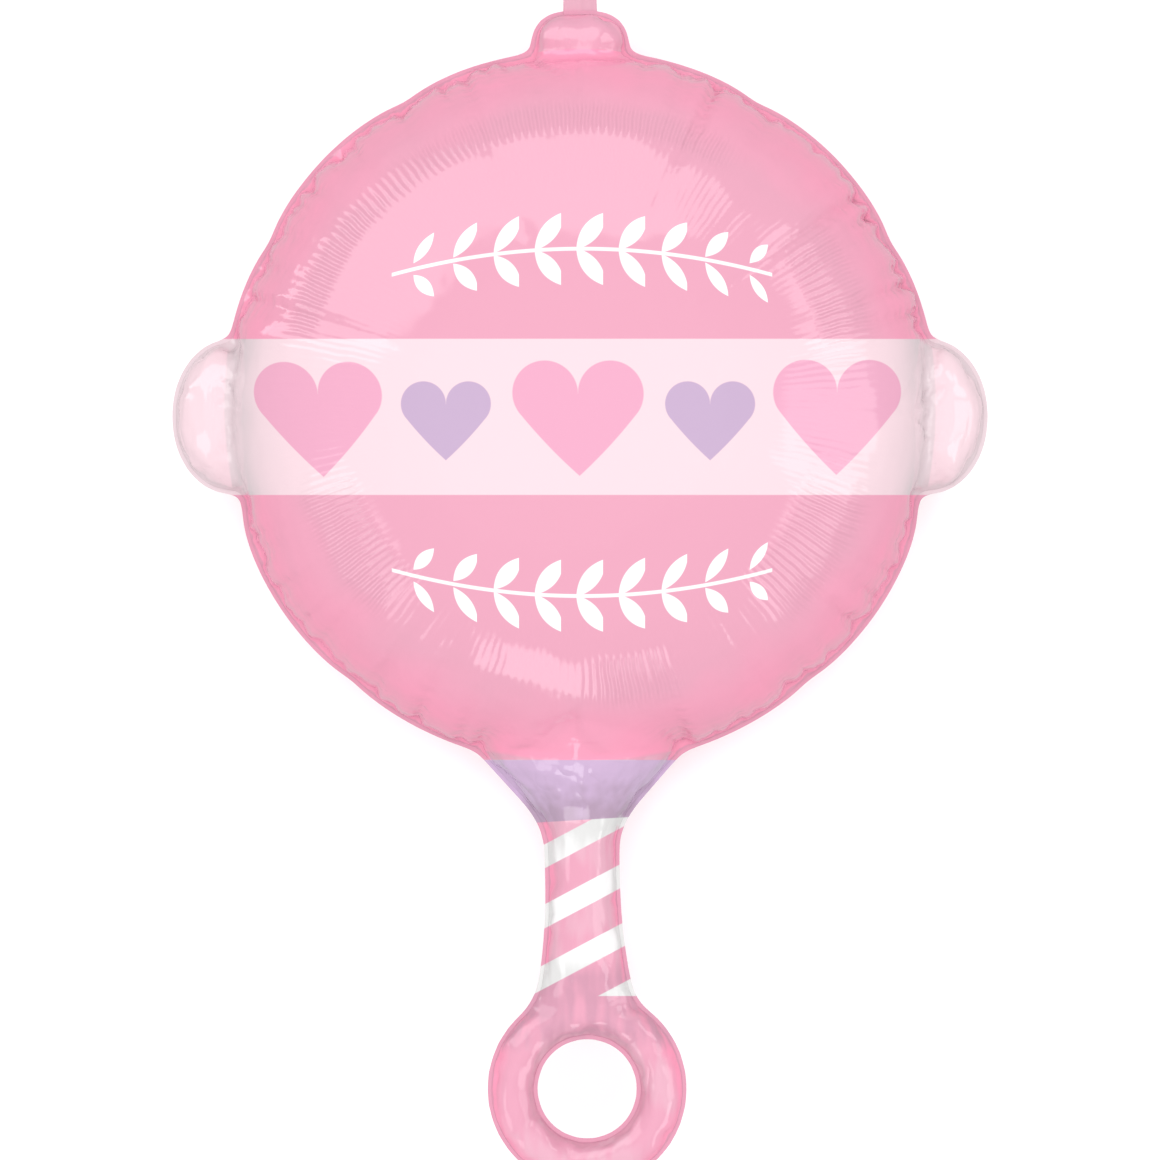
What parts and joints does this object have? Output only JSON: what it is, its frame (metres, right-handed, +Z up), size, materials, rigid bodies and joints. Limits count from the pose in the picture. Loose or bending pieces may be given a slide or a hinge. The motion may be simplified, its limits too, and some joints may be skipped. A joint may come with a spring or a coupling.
{
  "type": "foil balloon",
  "caption": "Rattle-shaped foil balloon, air-filled: round lobed body with side ears, knob and filling tail, flared handle and end ring; lies on its back.",
  "frame": {"origin": "on the floor under the middle of the outline, with the balloon lying on its back", "axes": "+Z up, out of the printed front; +Y along the balloon from the ring to the filling tail; +X to the right seen from the front"},
  "size_m": [0.514, 0.7846, 0.2592],
  "materials": {
    "printed_foil": "glossy printed plastic film, pale pink with a paler band, lilac collar and white stripes, puckered along the weld seam"
  },
  "bodies": {
    "root": {"foil_envelope": "printed_foil"}
  },
  "joints": []
}
